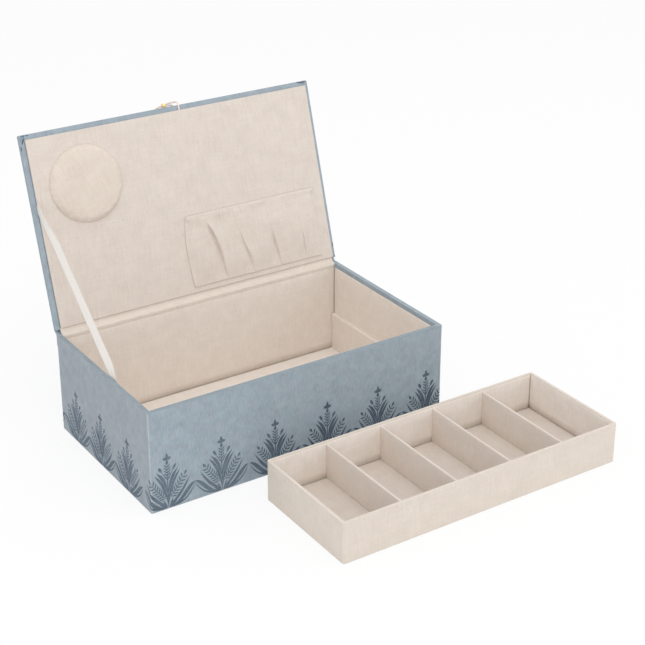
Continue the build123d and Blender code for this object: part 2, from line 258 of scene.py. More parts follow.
def surface(material, colour, roughness, height=None, strength=0.0, deep=0.0, **plain):
    """Plugs in colour, roughness and a bump some mm deep; plain is what is the same all over."""
    shader = material.node_tree.nodes["Principled BSDF"]
    plugs = {"Base Color": colour, "Roughness": roughness}
    if height:
        inputs = {"Height": height, "Strength": strength, "Distance": deep * MM}
        plugs["Normal"] = height.node("Bump", inputs=inputs)
    for name, wire in plugs.items():
        material.node_tree.links.new(wire.socket, shader.inputs[name])
    for name, value in plain.items():
        shader.inputs[name.replace("_", " ")].default_value = value
    return material


print("linen colour", [round(x, 3) for x in srgb(221, 209, 199)])

# %% [markdown]
# ## Threads on a face
# Cloth pasted on a board runs straight along it, so the weave needs the face's own two
# directions. Each face looks mostly along one axis: the direction is picked from the
# normal, and the other two coordinates, in millimetres, run along the threads. On the lid
# everything is first turned upright by the lid's lean.

# %% Thread directions
LID_LEAN = math.radians(16.9)


def thread_places(wire, leaning=0.0):
    """Across and up on whichever way a face looks, and a number that tells faces apart."""
    turned = []
    for output in ("Object", "Normal"):
        inputs = {"Vector": wire.node("TexCoord", output=output), "Rotation": (leaning, 0.0, 0.0)}
        turned.append(wire.node("Mapping", {"vector_type": "POINT"}, inputs).parts())
    (x, y, z), (nx, ny, nz) = turned
    sideways = nx.size() > 0.7
    upward = nz.size() > 0.7
    across = sideways.blend_value(x, y) * 1000
    up = upward.blend_value(z, y) * 1000
    apart = (x + y * 1.7 + z * 2.3) * 12
    return across, up, apart, (x * 1000, y * 1000, z * 1000)


def speckle(wire, x, y, z, detail=2.0, rough=0.5):
    """Noise at the places given, from 0 to 1."""
    inputs = {"Vector": wire.vector(x, y, z), "Scale": 1.0, "Detail": detail, "Roughness": rough}
    return wire.node("TexNoise", inputs=inputs)


def start_cloth(name, leaning=0.0, skew=0.0):
    """A new material, its grain, its places across and up, and its place on the object.

    Grain makes noise, so many to the millimetre across and up; shift tells one from the next.
    Skew turns the threads, in degrees.
    """
    material, wire = start_finish(name)
    across, up, apart, place = thread_places(wire, leaning)
    if skew:
        cosine, sine = math.cos(math.radians(skew)), math.sin(math.radians(skew))
        across, up = across * cosine + up * sine, up * cosine - across * sine

    def grain(over, upward, shift=0, detail=2.0, rough=0.5):
        return speckle(wire, across * over, up * upward, apart + shift, detail, rough)

    return material, grain, across, up, place


def plain_weave(across, up, pitch):
    """Height of a plain weave: each thread passes over the next and under the one after."""
    warp = (across * (math.pi / pitch)).sine()
    weft = (up * (math.pi / pitch)).sine()
    over = warp * weft > 0.0
    return over.blend_value(weft.size(), warp.size())


# %% [markdown]
# ## Natural linen
# The linings, tray and pincushion are one undyed linen: warm pale beige, with thicker slubs
# along both threads, a faint cloudiness and here and there a brown fleck of husk. Streaks of
# noise, stretched along each thread direction, give the slubs; the weave itself is a plain
# over-and-under height for the bump. As painted light, the linings inside, the tray's walls and
# the dividers are a little paler than the rest; as painted shade, the tray's floor is darker.

# %% Linen
LINEN_PITCH = 0.62


def linen_finish(name, light, dark, leaning=0.0, skew=0.0):
    """Linen between two picked colours."""
    material, grain, across, up, _ = start_cloth(name, leaning, skew)
    light, dark = srgb(*light), srgb(*dark)
    long_slub, cross_slub = grain(0.75, 0.055), grain(0.05, 0.8, 40)
    fine, cloud = grain(2.1, 0.35, 80, 1.0), grain(0.06, 0.06, 120, 3.0)
    tone = long_slub * 0.34 + cross_slub * 0.24 + fine * 0.28 + cloud * 0.32 - 0.09
    woven = plain_weave(across, up, LINEN_PITCH)
    colour = tone.between(0.18, 0.82).blend_colour(dark, light)
    hue = grain(0.11, 0.11, 160).between(0.42, 0.58)
    colour = (hue * 0.15).blend_colour(colour, srgb(216, 213, 196))
    thread_gap = 1 - woven.between(0.0, 0.35)
    darker = tuple(0.8 * part for part in dark)
    colour = (thread_gap * 0.16).blend_colour(colour, darker)
    husk = grain(1.3, 0.7, 200, 0.0).between(0.79, 0.83)
    colour = (husk * 0.4).blend_colour(colour, srgb(150, 128, 104))
    height = woven * 0.5 + long_slub * 0.9 + cross_slub * 0.6
    plain = {"Specular_IOR_Level": 0.2, "Sheen_Weight": 0.08}
    return surface(material, colour, 0.94 - woven * 0.1, height, 0.35, 0.22, **plain)


linen = linen_finish("natural_linen", (232, 221, 211), (213, 201, 190))
# Lit and shaded copies of one linen: the inside, tray-wall and divider copies are painted paler as
# painted light, and the tray-floor copy darker as painted shade.
inner_linen_painted_lighter = linen_finish("natural_linen_inside_painted_lighter", (240, 231, 223), (224, 213, 204))
tray_floor_linen_painted_shade = linen_finish("natural_linen_tray_floor_painted_shade", (222, 211, 202), (207, 195, 185))
tray_wall_linen_painted_lighter = linen_finish("natural_linen_tray_wall_painted_lighter", (247, 239, 232), (232, 222, 214))
divider_linen_painted_light = linen_finish("natural_linen_divider_painted_light", (233, 223, 214), (217, 205, 196))
lid_linen = linen_finish("natural_linen_lid", (229, 218, 209), (208, 196, 187), LID_LEAN)
pocket_linen = linen_finish("natural_linen_pocket", (229, 218, 209), (208, 196, 186), LID_LEAN, 4)
pad_linen = linen_finish("natural_linen_pad", (229, 217, 206), (209, 196, 184), LID_LEAN, 20)
print("linens made:", len(bpy.data.materials))

# %% [markdown]
# ## Blue-grey cover cloth
# The outside is a cotton cloth dyed blue-grey and pasted down hard. It is softly mottled
# where the dye took unevenly, with short upright slubs: two clouds of noise, one for light
# and dark and one that leans between teal and grey. On the box it is worn a little paler along
# the upright corners, painted shade darkens the rim's top at the front and left, and the left end
# has faded greyer. Inside the lid a painted shadow runs beside the lining's left edge.

# %% Cover cloth
COVER_PITCH = 0.45


def cover_finish(name, leaning=0.0, worn_and_shaded=False):
    """Blue-grey cloth; the box's version adds wear and a painted shade on the rim's top; leaning
    adds a painted shadow beside the lid's lining.
    """
    material, grain, across, up, (x, y, z) = start_cloth(name, leaning)
    slub, fine = grain(0.85, 0.16), grain(2.4, 0.9, 60)
    cloud, hue = grain(0.09, 0.09, 120, 3.0), grain(0.14, 0.14, 180)
    depth = (slub * 0.45 + fine * 0.3 + cloud * 0.45 - 0.1).between(0.2, 0.85)
    teal = depth.blend_colour(srgb(140, 155, 162), srgb(171, 186, 194))
    grey = depth.blend_colour(srgb(145, 155, 166), srgb(172, 182, 193))
    colour = hue.between(0.35, 0.65).blend_colour(teal, grey)
    woven = plain_weave(across, up, COVER_PITCH)
    thread_gap = 1 - woven.between(0.0, 0.35)
    colour = (thread_gap * 0.12).blend_colour(colour, srgb(122, 136, 147))
    if worn_and_shaded:
        corner = x.size().between(164.2, 165.9) * y.size().between(94.2, 95.9)
        foot = 1 - z.between(0.2, 1.4)
        patchy = grain(1.0, 0.3, 0, 3.0).between(0.2, 0.7)
        worn = (corner * 0.9 + foot * 0.25) * patchy
        colour = worn.blend_colour(colour, srgb(204, 211, 214))
        # Painted shade: the top of the rim at the front and left is darkened.
        front_and_left = (1 - x.between(157, 161)) * (1 - y.between(91, 92))
        painted_rim_shade = z.between(104.7, 104.95) * front_and_left
        colour = (painted_rim_shade * 0.42).blend_colour(colour, srgb(122, 136, 140))
        left_end = 1 - x.between(-165.9, -165.0)
        faded = depth.blend_colour(srgb(150, 153, 160), srgb(174, 176, 182))
        colour = (left_end * 0.45).blend_colour(colour, faded)
    if leaning:
        # Painted shadow: a thin dark line on the margin beside the lid lining's left edge.
        core = (Matrix.Rotation(leaning, 3, "X") @ lid_point(0, 0, -LID_THICK / 2)).y / MM
        inside = 1 - y.between(core - 0.5, core + 0.5)
        painted_lining_shadow = (1 - (x + 160.9).size().between(0.3, 0.8)) * inside
        colour = (painted_lining_shadow * 0.55).blend_colour(colour, srgb(100, 112, 122))
    height = woven * 0.4 + slub * 0.7 + fine * 0.3
    roughness = 0.88 - woven * 0.08
    return surface(material, colour, roughness, height, 0.28, 0.18, Specular_IOR_Level=0.25)


cover_cloth = cover_finish("blue_cover_cloth", worn_and_shaded=True)
lid_cover_cloth = cover_finish("blue_cover_cloth_lid", LID_LEAN)
print("cover cloths:", cover_cloth.name, lid_cover_cloth.name)

# %% [markdown]
# ## Ink, board, ribbon, braid and brass
# The smaller finishes. Printing ink sinks into the cloth, so its colour is broken up by the
# same slubs, and the block was running dry by the box's left end. Greyboard is pressed pulp
# with darker fibres. The ribbon is satin with fine ribs along it and streaks of painted sheen
# in its colour, the pull is a braid, and the ferrule is thin polished brass.


# %% Small finishes
def ink_finish(name, leaning=0.0, dries_from=-90.0):
    """Printing ink, paler to the left of a place and full 80 mm to the right of it."""
    material, grain, _, _, (x, _, _) = start_cloth(name, leaning)
    slub, cloud = grain(1.5, 0.5), grain(0.05, 0.12, 60)
    cover = (slub * 0.7 + cloud * 0.5).between(0.28, 0.86)
    dry = cover.blend_colour(srgb(82, 94, 107), srgb(118, 131, 143))
    fresh = cover.blend_colour(srgb(63, 74, 88), srgb(98, 111, 125))
    colour = x.between(dries_from, dries_from + 80.0).blend_colour(dry, fresh)
    roughness = 0.8 + slub * 0.12
    return surface(material, colour, roughness, slub, 0.2, 0.1, Specular_IOR_Level=0.25)


def board_finish():
    material, grain, *_ = start_cloth("pressed_greyboard")
    pulp, fibre = grain(0.9, 0.9, 0, 4.0, 0.65), grain(0.5, 3.0, 50)
    mixed = (pulp * 0.6 + fibre * 0.4).between(0.3, 0.7)
    colour = mixed.blend_colour(srgb(150, 143, 132), srgb(186, 180, 170))
    return surface(material, colour, 0.86 + pulp * 0.1, pulp, 0.3, 0.1)


def own_map(wire):
    """The two places of a strip's or a cord's own map."""
    return wire.node("TexCoord", output="UV").parts()[:2]


def ribbon_finish():
    material, wire = start_finish("white_satin_ribbon")
    across, along = own_map(wire)
    ribs = (across * 210).sine()
    streak = speckle(wire, across * 30, along * 9, 0.0)
    edge = (across - 0.5).size().between(0.42, 0.47)
    # Painted sheen: noise streaks along the ribbon make its colour paler and darker.
    painted_sheen = (streak * 0.7 + ribs * 0.08 + 0.1).between(0.2, 0.8)
    colour = painted_sheen.blend_colour(srgb(222, 216, 209), srgb(243, 239, 234))
    colour = (edge * 0.25).blend_colour(colour, srgb(206, 198, 189))
    roughness, height = 0.42 + streak * 0.15 + edge * 0.2, ribs * 0.5 + edge * 2.0
    return surface(material, colour, roughness, height, 0.25, 0.1, Sheen_Weight=0.15)


def braid_finish():
    material, wire = start_finish("pale_braid")
    along, round_it = own_map(wire)
    left = (along * 330 + round_it * 18.85).sine()
    right = (along * 330 - round_it * 18.85).sine()
    plait = (left * right) * 0.5 + 0.5
    tint = speckle(wire, along * 9, round_it * 2, 0.0)
    colour = tint.between(0.3, 0.7).blend_colour(srgb(243, 232, 222), srgb(236, 214, 204))
    colour = ((1 - plait) * 0.35).blend_colour(colour, srgb(196, 172, 152))
    return surface(material, colour, 0.75 - plait * 0.15, plait, 0.5, 0.2)


def brass_finish():
    material, grain, *_ = start_cloth("thin_gold_brass", LID_LEAN)
    rub = grain(3, 9, 0, 3.0)
    colour = rub.between(0.3, 0.7).blend_colour(srgb(236, 200, 122), srgb(250, 226, 164))
    return surface(material, colour, 0.22 + rub * 0.2, Metallic=1.0)


def thread_finish():
    material, grain, *_ = start_cloth("pale_cotton_thread", LID_LEAN)
    ply = grain(4, 4)
    colour = ply.between(0.3, 0.7).blend_colour(srgb(214, 205, 182), srgb(236, 229, 208))
    return surface(material, colour, 0.7 + ply * 0.15)


def elastic_finish():
    material, _, across, up, _ = start_cloth("knitted_elastic", LID_LEAN)
    rib = (across * 5.2).sine() * (up * 7.0).sine()
    colour = rib.between(-0.8, 0.8).blend_colour(srgb(204, 200, 190), srgb(236, 233, 226))
    return surface(material, colour, 0.8 + rib * 0.08, rib, 0.4, 0.2)


ink = ink_finish("printing_ink")
lid_ink = ink_finish("printing_ink_lid", LID_LEAN, -400.0)
cotton_thread = thread_finish()
braid = braid_finish()
pull_loop.data.materials.append(braid)
print("finishes made:", len(bpy.data.materials))

# %% [markdown]
# ## Finishes on the CAD pieces
# Every board, card and cloth of the frame keeps its shape and only gets its finish. The
# record's own list says which slot each one has, so a short table of slots does it, with
# the lid's cloths turned by its lean.

# %% Finishes onto the frame
slot_finishes = {
    "greyboard": board_finish(), "printed_cloth": cover_cloth, "cover_cloth": cover_cloth,
    "natural_linen": linen, "white_ribbon": ribbon_finish(), "elastic": elastic_finish(),
    "pull_braid": braid, "gold_metal": brass_finish(),
}
lid_finishes = {"cover_cloth": lid_cover_cloth, "natural_linen": lid_linen}
lid_nodes = frame["record"]["behaviour"]["bodies"]["lid"]
for row in frame["record"]["subparts"]:
    node, slot_name = row["node"], row["material_slot"]
    finish = slot_finishes[slot_name]
    if node in lid_nodes:
        finish = lid_finishes.get(slot_name, finish)
    # The ledges take the paler inside copy, with its painted light.
    if node.endswith("_ledge"):
        finish = inner_linen_painted_lighter
    cad_object = frame["nodes"][node]
    cad_object.data.materials.clear()
    cad_object.data.materials.append(finish)

# %% [markdown]
# ## Thin shells
# Cloth is thin but not without thickness, so each soft piece is a closed skin: a grid of
# points for its face, a second grid for its back, and a wall round the border. It is given
# as rows of pairs, each pair a place on the face and the one behind it. One helper stitches
# the two grids together; everything from a printed leaf to the pocket uses it.


# %% Shell helper
def add_shell(points, faces, pairs):
    """Adds a closed skin, given as rows of pairs of places, to lists of points and faces."""
    rows, columns = len(pairs), len(pairs[0])
    first = len(points)
    for side in (0, 1):
        points.extend(pair[side] for row in pairs for pair in row)

    def at(r, c, behind=0):
        return first + (behind * rows + r) * columns + c

    for r in range(rows - 1):
        for c in range(columns - 1):
            faces.append((at(r, c), at(r, c + 1), at(r + 1, c + 1), at(r + 1, c)))
            faces.append((at(r, c, 1), at(r + 1, c, 1), at(r + 1, c + 1, 1), at(r, c + 1, 1)))
    rim = [(0, c) for c in range(columns)] + [(r, columns - 1) for r in range(1, rows)]
    rim += [(rows - 1, c) for c in range(columns - 2, -1, -1)]
    rim += [(r, 0) for r in range(rows - 2, 0, -1)]
    for (r0, c0), (r1, c1) in zip(rim, rim[1:] + rim[:1]):
        faces.append((at(r1, c1), at(r0, c0), at(r0, c0, 1), at(r1, c1, 1)))


def make_piece(name, points, faces, finish, smooth=True):
    """A mesh object from lists, its faces turned outward."""
    mesh = bpy.data.meshes.new(name)
    mesh.from_pydata([tuple(point) for point in points], [], faces)
    shaped = bmesh.new()
    shaped.from_mesh(mesh)
    bmesh.ops.recalc_face_normals(shaped, faces=shaped.faces)
    shaped.to_mesh(mesh)
    shaped.free()
    for polygon in mesh.polygons:
        polygon.use_smooth = smooth
    mesh.materials.append(finish)
    piece = bpy.data.objects.new(name, mesh)
    bpy.context.scene.collection.objects.link(piece)
    print(name, len(mesh.vertices), "points")
    return piece


def shell_piece(name, shells, finish, smooth=True):
    """A piece made of one closed skin or more, each given as its rows of pairs."""
    points, faces = [], []
    for pairs in shells:
        add_shell(points, faces, pairs)
    return make_piece(name, points, faces, finish, smooth)


# %% [markdown]
# ## The printed border
# Round the foot of the box runs a block-printed row of leaf fans, a traditional kind of
# border: a flower on a stem, blades in a V, a herringbone spray each side, and long blades
# that sweep down to meet the next fan. It is drawn once, leaf by leaf, then stamped round
# the box. Each leaf is a hair-thin skin of ink on the cloth, which keeps every edge crisp
# from near by, where a painted texture would blur.

# %% Outline of the box
BOX_HALF_X, BOX_HALF_Y, BOX_CORNER = 166.0, 96.0, 1.2
FLAT_X = 2 * (BOX_HALF_X - BOX_CORNER)
FLAT_Y = 2 * (BOX_HALF_Y - BOX_CORNER)
QUARTER = BOX_CORNER * math.pi / 2
ROUND_THE_BOX = 2 * FLAT_X + 2 * FLAT_Y + 4 * QUARTER


def box_outline(along, proud):
    """A point on the box's outline, so far along it from mid-front and so far out from it."""
    along = (along + FLAT_X / 2) % ROUND_THE_BOX
    x, y, angle = -FLAT_X / 2, -FLAT_Y / 2, -math.pi / 2
    for side in (FLAT_X, FLAT_Y, FLAT_X, FLAT_Y):
        heading = angle + math.pi / 2
        if along <= side:
            x += along * math.cos(heading)
            y += along * math.sin(heading)
            break
        along -= side
        x += side * math.cos(heading)
        y += side * math.sin(heading)
        if along <= QUARTER:
            angle += along / BOX_CORNER
            break
        along -= QUARTER
        angle += math.pi / 2
    reach = BOX_CORNER + proud
    return x + reach * math.cos(angle), y + reach * math.sin(angle)


def near_corner(low, high):
    """Whether a stretch of the outline takes in an upright corner."""
    corners = [FLAT_X / 2, FLAT_X / 2 + QUARTER + FLAT_Y]
    corners += [corners[1] + QUARTER + FLAT_X, corners[1] + 2 * QUARTER + FLAT_X + FLAT_Y]
    for corner in corners:
        for lap in (-ROUND_THE_BOX, 0, ROUND_THE_BOX):
            if high > corner + lap - 1 and low < corner + lap + QUARTER + 1:
                return True
    return False


print("round the box", round(ROUND_THE_BOX, 1), "mm")

# %% [markdown]
# Every leaf is a curve with a width that swells and tapers. A curve here is three or four
# points and an eased run through them, which is all that a cut printing block ever needs.


# %% Leaf strokes
def eased_run(points, share):
    """A place on a smooth curve through a few points (a Bezier curve by repeated mixing)."""
    mixed = [Vector(point) for point in points]
    while len(mixed) > 1:
        mixed = [a.lerp(b, share) for a, b in zip(mixed, mixed[1:])]
    return mixed[0]


def blade(points, width, fullest=0.5):
    """A leaf: its curve, greatest width, and where along it that is."""
    return {"points": points, "width": width, "fullest": fullest}


def spray(points, pairs, reach, width):
    """A rib with leaves set in a herringbone, and a bud at its tip."""
    leaves = [blade(points, 0.9)]
    for number in range(pairs):
        share = 0.1 + 0.78 * number / (pairs - 1)
        foot = eased_run(points, share)
        heading = (eased_run(points, share + 0.03) - foot).normalized()
        size = reach * (1.0 - 0.2 * share)
        for lean in (58, -58):
            turned = Matrix.Rotation(math.radians(lean), 2) @ heading
            start = foot + turned * 0.3
            middle = start + turned * size * 0.5
            leaves.append(blade([start, middle, foot + turned * size + heading * 0.9], width))
    tip = Vector(points[-1])
    heading = (tip - eased_run(points, 0.9)).normalized()
    leaves.append(blade([tip - heading * 0.5, tip + heading * 1.8, tip + heading * 4.4], 2.4, 0.6))
    return leaves


def fan_leaves():
    """One fan: the right half's strokes, then their mirror images, and the middle ones."""
    half = []
    for number in range(5):
        height = 33.4 + 2.7 * number
        half.append(blade([(0.2, height - 1.7), (1.3, height - 0.5), (3.4, height + 1.6)], 1.15))
    half += [
        blade([(0.6, 30.5), (2.6, 34.5), (6.2, 39.6)], 0.9),
        blade([(5.4, 38.8), (7.2, 41.6), (9.2, 44.4)], 2.7, 0.62),
        blade([(0.3, 7.0), (2.2, 26.0), (13.4, 37.6)], 2.7, 0.6),
        blade([(0.6, 18.0), (2.6, 31.0), (11.6, 40.2)], 2.3, 0.62),
        blade([(0.9, 23.0), (2.2, 32.5), (8.8, 38.4)], 1.1, 0.6),
        *spray([(2.0, 12.4), (9.0, 19.2), (17.8, 31.3)], 7, 5.8, 1.4),
        blade([(1.6, 6.2), (11.4, 11.6), (23.8, 28.6)], 1.3),
        blade([(2.6, 5.8), (12.6, 10.6), (22.6, 26.4)], 1.9, 0.6),
        blade([(2.6, 4.4), (15.8, 4.4), (21.0, 19.6), (29.2, 21.0)], 3.7, 0.58),
        blade([(1.6, 4.0), (16.4, 3.2), (23.2, 9.6), (29.4, 20.0)], 1.4),
        blade([(4.4, 3.6), (10.6, 4.4), (17.6, 8.0)], 1.4),
        blade([(0.8, 4.0), (3.4, 7.4), (5.0, 12.2)], 1.7),
        blade([(1.2, 3.4), (5.2, 6.2), (9.0, 8.6)], 1.5),
    ]
    leaves = [
        blade([(0, 3.6), (0, 22), (0, 47.6)], 1.3, 0.3),
        blade([(0, 44.8), (0, 47.2), (0, 49.6)], 3.0),
        blade([(0, 48.6), (0, 52.2), (0, 56.2)], 3.0),
    ]
    for side in (1, -1):
        leaves.append(blade([(0.1 * side, 50.0), (2.2 * side, 51.5), (4.4 * side, 51.3)], 2.9))
        for stroke in half:
            points = [(side * point[0], point[1]) for point in stroke["points"]]
            leaves.append(blade(points, stroke["width"], stroke["fullest"]))
    return leaves


fan = fan_leaves()
print("strokes in one fan:", len(fan))

# %% [markdown]
# The fans stand about 58 mm apart. On the front and left their places follow the real
# border; round the other two sides the block was stamped evenly. A little wander in each
# stamp's height and width keeps the row from looking machined.

# %% Stamp the border
INK_PROUD, INK_STEP, INK_DEPTH = 0.04, 0.0006, 0.1
LEAF_STEP, CORNER_STEP = 2.2, 0.45
STAMP_FOOT, STAMP_LOW, LOWEST_INK = 3.6, 0.9, 0.6
fan_places = [-321.0, -267.1, -210.6, -148.3, -90.8, -31.6, 28.0, 88.0, 147.2]
stamps_left = 9
last, first_again = fan_places[-1], fan_places[0] + ROUND_THE_BOX
fan_places += [
    last + (first_again - last) * (n + 1) / (stamps_left + 1) for n in range(stamps_left)
]
random.seed(7)


def stroke_shell(stroke, place_at, lift=0.0, stamp=None):
    """Rows of pairs for one stroke, finer where its stamp goes round a corner."""
    points, width, fullest = stroke["points"], stroke["width"], stroke["fullest"]
    reach = sum((Vector(b) - Vector(a)).length for a, b in zip(points, points[1:]))
    steps, columns = max(5, int(reach / LEAF_STEP)), 1
    if stamp:
        middle, wide = stamp
        along = [middle + eased_run(points, n / steps).x * wide for n in range(steps + 1)]
        if near_corner(min(along) - width, max(along) + width):
            steps, columns = int(reach / CORNER_STEP) + 4, max(4, int(width / CORNER_STEP))
    pairs = []
    for number in range(steps + 1):
        share = number / steps
        heading = eased_run(points, min(1, share + 0.02)) - eased_run(points, max(0, share - 0.02))
        side = Vector((-heading.y, heading.x)).normalized()
        swell = share / fullest if share < fullest else (1 - share) / (1 - fullest)
        wide = 0.12 + width * math.sin(math.pi / 2 * min(1, swell)) ** 0.8
        here = eased_run(points, share)
        spots = [here + side * wide * (c / columns - 0.5) for c in range(columns + 1)]
        heights = (INK_PROUD + lift, INK_PROUD - INK_DEPTH)
        pairs.append([[place_at(spot, height) for height in heights] for spot in spots])
    return pairs


def on_wall(middle, wide, tall):
    """A function that puts a drawn point on the box wall, for one stamp of the fan."""

    def place_at(spot, proud):
        x, y = box_outline(middle + spot.x * wide, proud)
        return Vector((x, y, max(LOWEST_INK, STAMP_LOW + (spot.y - STAMP_FOOT) * tall))) * MM

    return place_at


border = []
for middle in fan_places:
    wide, tall = random.uniform(0.99, 1.015), random.uniform(1.095, 1.12)
    place_at = on_wall(middle, wide, tall)
    for number, stroke in enumerate(fan):
        border.append(stroke_shell(stroke, place_at, number * INK_STEP, (middle, wide)))
printed_border = shell_piece("printed_border", border, ink, smooth=False)
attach(printed_border, "box")

# %% [markdown]
# The same cloth turns in round the lid, and where its cut edge took in some of the border a
# few strokes show: at the lid's two upper corners, and at the right above the hinge.

# %% Strokes on the lid
margin_strokes = [
    blade([(-161.2, 192.2), (-162.4, 189.2), (-164.2, 185.4)], 1.6),
    blade([(-165.5, 184.4), (-165.0, 182.0), (-165.5, 179.4)], 1.0),
    blade([(-163.4, 194.2), (-161.4, 193.6), (-159.6, 194.1)], 1.1),
    blade([(-159.3, 194.1), (-157.4, 193.4), (-155.4, 194.0)], 0.9),
    blade([(-165.4, 191.0), (-164.4, 192.8), (-162.6, 194.2)], 0.4),
    blade([(-165.4, 188.6), (-163.8, 190.8), (-162.2, 192.6)], 0.35),
    blade([(152.8, 194.4), (158.4, 193.6), (164.0, 191.9)], 1.3),
    blade([(158.6, 194.5), (162.0, 194.2), (165.3, 193.6)], 0.9),
    blade([(165.3, 17.4), (165.0, 14.6), (165.3, 11.8)], 1.1),
    blade([(165.2, 2.6), (164.8, 1.4), (165.2, 0.3)], 1.3),
]


def on_lid(spot, proud):
    """Puts a drawn point on the lid's inner margin."""
    return lid_point(spot.x, spot.y, proud)


marks = [stroke_shell(stroke, on_lid) for stroke in margin_strokes]
lid_strokes = shell_piece("lid_margin_strokes", marks, lid_ink, smooth=False)
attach(lid_strokes, "lid")

# %% [markdown]
# ## Linen-covered cards
# The linings are cards wrapped in linen and glued in, so their edges are soft: where two of
# them meet there is a fine groove, and along the rim a rounded edge that takes the light.
# The frame has them as blocks. Each is drawn again in its own place as a cushioned card, a
# grid of heights that falls away just before an edge. The linen round a floor card is pressed
# against the walls, so it takes up the fitting gap.

# %% Soft cards
EDGE_REACH, EDGE_LOW = 0.7, 0.38
FLOOR_EDGE_LOW, FLOOR_SPREAD = 0.7, 0.17
CARD_STEP = 9


def uneven(x, y, z):
    """Smooth noise round 0 at a place, for what no hand makes quite even."""
    return noise.noise(Vector((x, y, z)))


def card_stops(low, high, flat):
    """Places along a card, close together where its ends are rounded, beyond a flat strip."""
    stops, inner = {low, high}, (low, high)
    if flat is not None:
        near = [flat + EDGE_REACH * share for share in (0, 0.07, 0.25, 0.5, 1)]
        stops.update(low + off for off in near)
        stops.update(high - off for off in near)
        inner = (low + near[-1], high - near[-1])
    steps = max(1, int((inner[1] - inner[0]) / CARD_STEP))
    stops.update(inner[0] + (inner[1] - inner[0]) * n / steps for n in range(steps + 1))
    return sorted(stops)


def edge_share(place, low, high, flat):
    """0 at a rounded end, 1 where the face is full; a flat of None is for square ends."""
    if flat is None:
        return 1.0
    nearest = min((place - low - flat) / EDGE_REACH, (high - place - flat) / EDGE_REACH)
    return max(0.0, min(1.0, nearest))


def soft_card(node, axis, facing, flats, body, finish, edge_low=EDGE_LOW, spread=0.0):
    """A card in its node's place, its face looking along one axis, its edges rounded.

    Flats are for its sides and for its height. A card that stands on the floor has None for
    the second: its foot is square, and its top is a fold, round on both sides.
    """
    low, high = [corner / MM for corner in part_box(node)]
    thick = high[axis] - low[axis]
    u, v = [number for number in range(3) if number != axis]
    for side in (u, v):
        low[side] -= spread
        high[side] += spread
    folded = flats[1] is None
    up_stops = card_stops(low[v], high[v], flats[1])
    if folded:
        near_top = [high[v] - thick / 2 * share for share in (0.05, 0.2, 0.5, 1)]
        up_stops = sorted(set(up_stops + near_top))

    def pair_at(a, b):
        share = edge_share(a, low[u], high[u], flats[0])
        share = min(share, edge_share(b, low[v], high[v], flats[1]))
        rise = edge_low + (1 - edge_low) * math.sqrt(1 - (1 - share) ** 2)
        ripple = 0.07 * uneven(a * 0.06, b * 0.06, low[axis]) * share - 0.04 * share
        back = 0.0
        if folded:
            fold = math.sqrt(1 - max(0.0, 1 - (high[v] - b) / (thick / 2)) ** 2)
            rise = min(rise, 0.55 + 0.45 * fold)
            back = min(thick * 0.45 * (1 - fold), thick * rise - 0.1)
        spots = []
        for height in (thick * rise + ripple, back):
            spot = Vector((0, 0, 0))
            spot[u], spot[v] = a, b
            spot[axis] = low[axis] + height if facing > 0 else high[axis] - height
            spots.append(spot * MM)
        return spots

    side_stops = card_stops(low[u], high[u], flats[0])
    pairs = [[pair_at(a, b) for a in side_stops] for b in up_stops]
    card = shell_piece(node + "_card", [pairs], finish)
    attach(card, body)
    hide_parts(node)


# Floors and walls take the linen copies with painted light and painted shade.
for body, prefix, beside, floor_finish, wall_finish in (
    ("box", "", 1.2, inner_linen_painted_lighter, inner_linen_painted_lighter),
    ("tray", "tray_", 0.9, tray_floor_linen_painted_shade, tray_wall_linen_painted_lighter),
):
    floor_node = prefix + "floor_lining"
    soft_card(floor_node, 2, 1, (0.0, 0.0), body, floor_finish, FLOOR_EDGE_LOW, FLOOR_SPREAD)
    for side, axis, facing, flat in (
        ("front", 1, 1, beside), ("back", 1, -1, beside),
        ("left", 0, 1, 0.0), ("right", 0, -1, 0.0),
    ):
        soft_card(prefix + side + "_lining", axis, facing, (flat, None), body, wall_finish)

# %% [markdown]
# The tray's dividers are boards with linen folded over their tops and down both faces. The
# fold is round, and the cloth is drawn in a little where it meets the floor and the walls.

# %% Divider wraps
DIVIDER_HALF, WRAP_INSIDE, WRAP_LOWER = 1.3, 0.85, 0.45
DRAWN_IN, DRAWN_REACH = 0.27, 0.7


def wrap_line(low, top, drawn):
    """The wrap seen from its end: up one face, over the round top and down the other."""
    half, full = DIVIDER_HALF, low + DRAWN_REACH
    side = [(half - DRAWN_IN, low), (half - DRAWN_IN * 0.35, low + 0.3), (half, full)]
    side += [(half, full + (top - half - low - DRAWN_REACH) * n / 4) for n in (1, 2, 3, 4)]
    side += [(half * math.cos(t), top - half + half * math.sin(t)) for t in (0.4, 0.8, 1.2)]
    line = [(x - drawn * (x / half), z) for x, z in side]
    return [(-x, z) for x, z in line] + [(0.0, top - drawn)] + line[::-1]


for number in range(1, 5):
    node = "divider_wrap_" + str(number)
    low, high = [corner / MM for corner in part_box(node)]
    middle, pairs = (low.x + high.x) / 2, []
    inside = [(x * WRAP_INSIDE / DIVIDER_HALF, z - (WRAP_LOWER if z > low.z else 0))
              for x, z in wrap_line(low.z, high.z, 0.0)]
    for y in card_stops(low.y, high.y, 0.0):
        share = edge_share(y, low.y, high.y, 0.0)
        outside = wrap_line(low.z, high.z, DRAWN_IN * (1 - math.sqrt(1 - (1 - share) ** 2)))
        both = zip(outside, inside)
        pairs.append([[Vector((middle + x, y, z)) * MM for x, z in pair] for pair in both])
    wrap = shell_piece("divider_linen_painted_light_" + str(number), [pairs], divider_linen_painted_light)
    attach(wrap, "tray")
    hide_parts(node)

